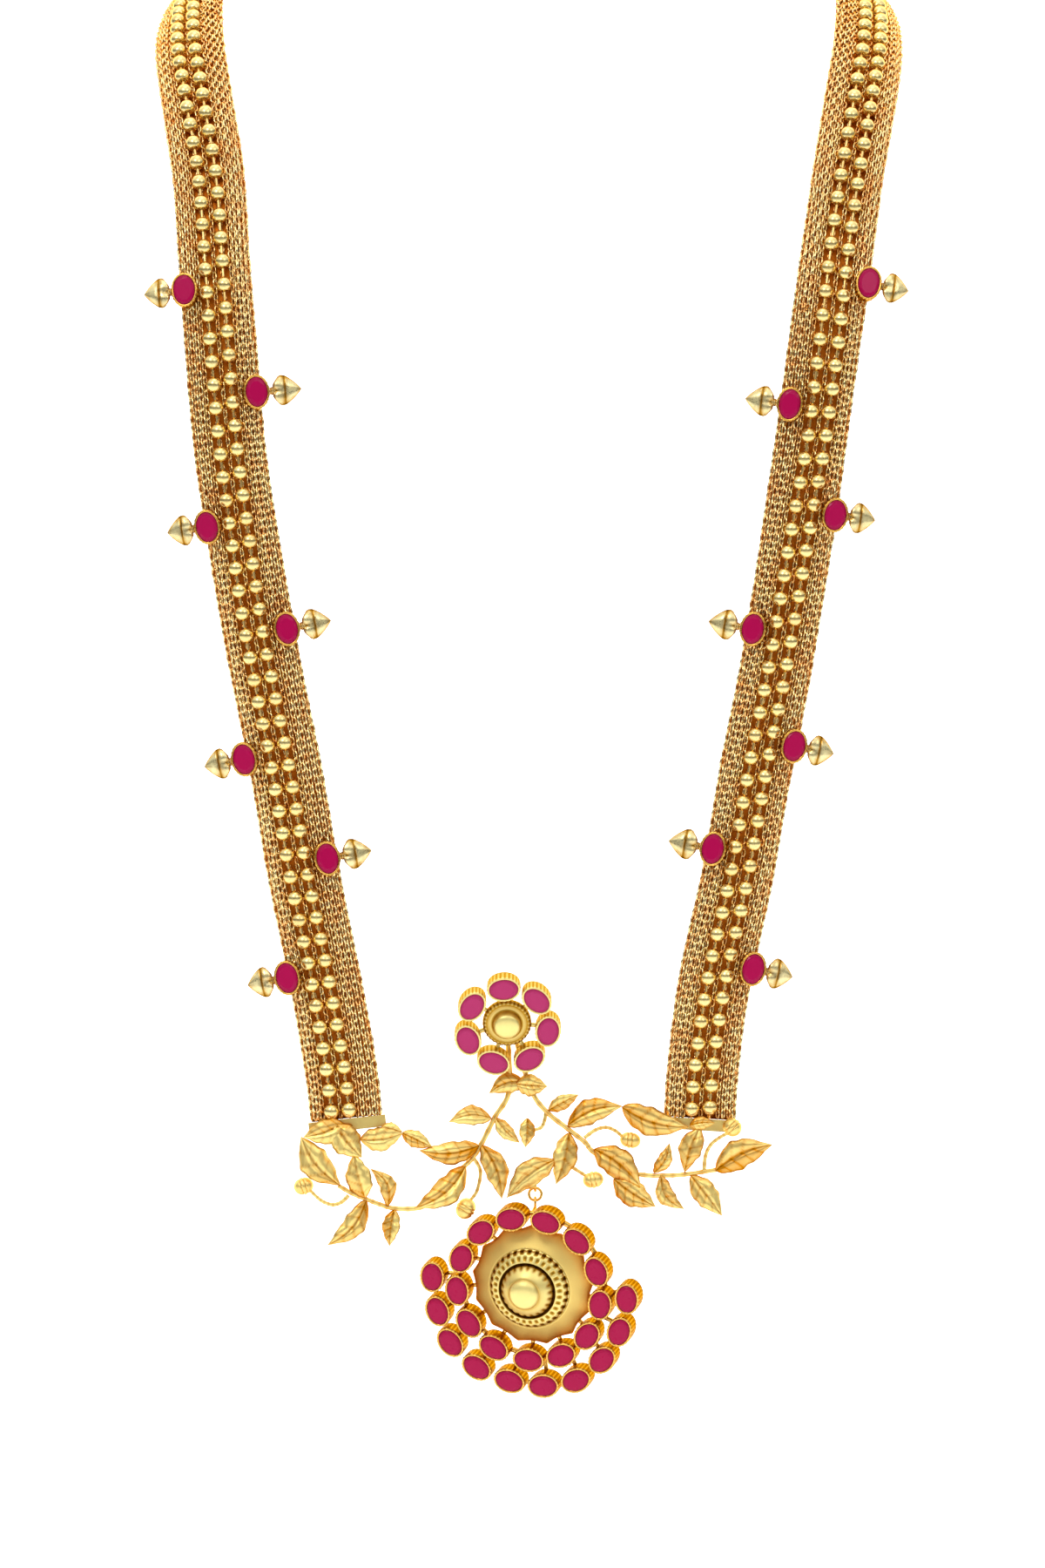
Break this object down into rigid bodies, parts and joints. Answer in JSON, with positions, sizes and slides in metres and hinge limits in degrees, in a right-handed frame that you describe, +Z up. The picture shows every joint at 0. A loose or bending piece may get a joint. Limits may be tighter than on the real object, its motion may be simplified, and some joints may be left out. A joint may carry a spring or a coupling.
{
  "type": "mesh necklace",
  "caption": "Worn gold mesh necklace: two chain-and-bead straps, ruby side drops, a leafy spray with a ruby flower, and a round ruby pendant.",
  "frame": {"origin": "middle of the clasp at the wearer's nape", "axes": "+Z up, -Y the way the wearer faces, +X to the right of a viewer who faces the wearer"},
  "size_m": [0.1463, 0.1484, 0.2831],
  "materials": {
    "mesh_gold": "fine chains, polished",
    "bead_gold": "polished",
    "wire_gold": "polished",
    "satin_gold": "satin",
    "bright_gold": "polished",
    "ruby": "cut and polished"
  },
  "bodies": {
    "necklace": {"left_mesh_strap": "mesh_gold", "right_mesh_strap": "mesh_gold", "left_outer_beads": "bead_gold", "left_inner_beads": "bead_gold", "right_outer_beads": "bead_gold", "right_inner_beads": "bead_gold", "left_outer_wire": "wire_gold", "left_inner_wire": "wire_gold", "right_outer_wire": "wire_gold", "right_inner_wire": "wire_gold", "left_end_cap": "bright_gold", "right_end_cap": "bright_gold", "clasp_hook": "bright_gold", "left_end_plate": "bright_gold", "right_end_plate": "bright_gold", "left_branch": "satin_gold", "right_branch": "satin_gold", "flower_setting": "bright_gold", "spray_loop": "bright_gold", "side_setting_1": "bright_gold", "side_setting_2": "bright_gold", "side_setting_3": "bright_gold", "side_setting_4": "bright_gold", "side_setting_5": "bright_gold", "side_setting_6": "bright_gold", "side_setting_7": "bright_gold", "side_setting_8": "bright_gold", "side_setting_9": "bright_gold", "side_setting_10": "bright_gold", "side_setting_11": "bright_gold", "side_setting_12": "bright_gold", "side_setting_13": "bright_gold", "side_setting_14": "bright_gold", "side_ruby_1": "ruby", "side_ruby_2": "ruby", "side_ruby_3": "ruby", "side_ruby_4": "ruby", "side_ruby_5": "ruby", "side_ruby_6": "ruby", "side_ruby_7": "ruby", "side_ruby_8": "ruby", "side_ruby_9": "ruby", "side_ruby_10": "ruby", "side_ruby_11": "ruby", "side_ruby_12": "ruby", "side_ruby_13": "ruby", "side_ruby_14": "ruby", "flower_ruby_1": "ruby", "flower_ruby_2": "ruby", "flower_ruby_3": "ruby", "flower_ruby_4": "ruby", "flower_ruby_5": "ruby", "flower_ruby_6": "ruby", "flower_ruby_7": "ruby"},
    "jump_ring": {"jump_ring": "bright_gold"},
    "pendant": {"pendant_setting": "bright_gold", "pendant_dome": "satin_gold", "pendant_ring_rubies": "ruby", "pendant_crescent_rubies": "ruby"}
  },
  "joints": [
    {"name": "jump_ring_swing", "type": "hinge", "parent": "necklace", "child": "jump_ring", "pos_m": [0.0011, -0.1312, -0.23536], "axis": [0, 1, 0], "range_deg": [-20, 2]},
    {"name": "pendant_swing", "type": "hinge", "parent": "jump_ring", "child": "pendant", "pos_m": [0.0011, -0.1312, -0.2372], "axis": [1, 0, 0], "range_deg": [-20, 80]}
  ]
}
